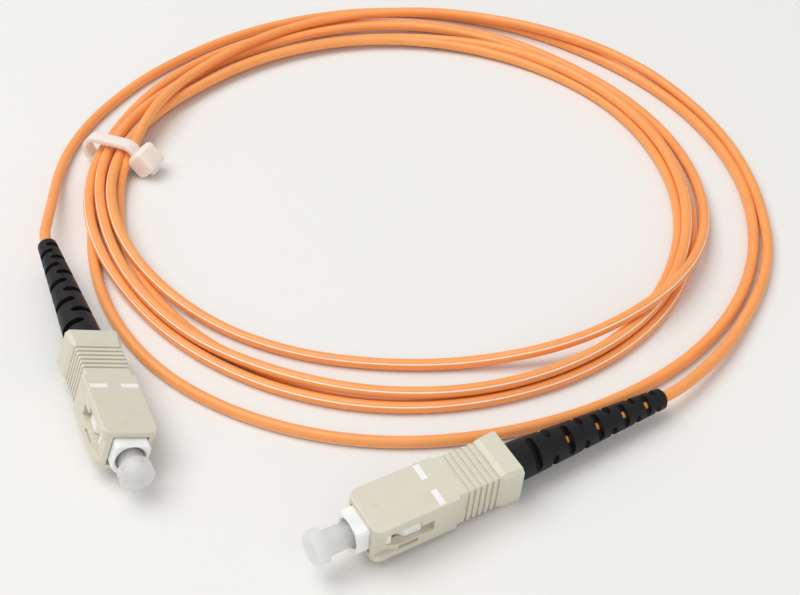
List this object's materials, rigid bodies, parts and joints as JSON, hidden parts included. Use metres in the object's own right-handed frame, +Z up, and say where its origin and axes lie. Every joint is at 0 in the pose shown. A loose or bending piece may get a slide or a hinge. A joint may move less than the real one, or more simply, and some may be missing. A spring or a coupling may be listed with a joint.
{
  "type": "sc fibre connector",
  "caption": "Simplex fibre patch cord coiled in a cable tie: square push-pull plugs with spring-loaded ceramic ferrules, tapered boots and pull-off dust caps.",
  "frame": {"origin": "under the middle of connector A, on the surface the cord lies on", "axes": "+X along connector A towards its mating end, +Z up; the coil lies towards -Y"},
  "size_m": [0.1438, 0.1471, 0.0103],
  "materials": {
    "grip": "fine moulded beige",
    "marks": "white inlay",
    "frame": "moulded white",
    "ferrule": "polished zirconia",
    "flange": "nickel-plated hub",
    "spring": "drawn wire",
    "buffer": "tight buffer",
    "stop_ring": "nickel-plated, knurled",
    "strain_tube": "thin tube",
    "yarn": "aramid yarn",
    "crimp": "soft metal sleeve",
    "boot": "black moulded elastomer",
    "cap": "translucent soft plastic",
    "jacket": "satin orange jacket",
    "tie": "natural nylon"
  },
  "bodies": {
    "cord": {"plug_frame_a": "frame", "ferrule_spring_a": "spring", "stop_ring_a": "stop_ring", "strain_tube_a": "strain_tube", "aramid_yarn_a": "yarn", "crimp_sleeve_a": "crimp", "boot_a": "boot", "cable_lead_a": "jacket", "plug_frame_b": "frame", "ferrule_spring_b": "spring", "stop_ring_b": "stop_ring", "strain_tube_b": "strain_tube", "aramid_yarn_b": "yarn", "crimp_sleeve_b": "crimp", "boot_b": "boot", "cable_lead_b": "jacket", "cable_coil": "jacket", "cable_tie": "tie"},
    "sleeve_a": {"grip_a": "grip", "insertion_marks_a": "marks"},
    "ferrule_body_a": {"ferrule_a": "ferrule", "ferrule_flange_a": "flange", "buffered_fibre_a": "buffer"},
    "cap_a": {"dust_cap_a": "cap"},
    "sleeve_b": {"grip_b": "grip", "insertion_marks_b": "marks"},
    "ferrule_body_b": {"ferrule_b": "ferrule", "ferrule_flange_b": "flange", "buffered_fibre_b": "buffer"},
    "cap_b": {"dust_cap_b": "cap"}
  },
  "joints": [
    {"name": "grip_slide_a", "type": "slide", "parent": "cord", "child": "sleeve_a", "axis": [0.9991, 0, 0.0422], "range_m": [0, 0.0018]},
    {"name": "ferrule_float_a", "type": "slide", "parent": "cord", "child": "ferrule_body_a", "axis": [0.9991, 0, 0.0422], "range_m": [-0.0012, 0], "stiffness_N_per_m": 3000, "springref_m": 0.0026, "deforming": ["ferrule_spring_a"]},
    {"name": "cap_pull_a", "type": "slide", "parent": "cord", "child": "cap_a", "axis": [0.9991, 0, 0.0422], "range_m": [0, 0.013]},
    {"name": "grip_slide_b", "type": "slide", "parent": "cord", "child": "sleeve_b", "axis": [0.1495, 0.9888, -0.001], "range_m": [0, 0.0018]},
    {"name": "ferrule_float_b", "type": "slide", "parent": "cord", "child": "ferrule_body_b", "axis": [0.1495, 0.9888, -0.001], "range_m": [-0.0012, 0], "stiffness_N_per_m": 3000, "springref_m": 0.0026, "deforming": ["ferrule_spring_b"]},
    {"name": "cap_pull_b", "type": "slide", "parent": "cord", "child": "cap_b", "axis": [0.1495, 0.9888, -0.001], "range_m": [0, 0.013]}
  ]
}
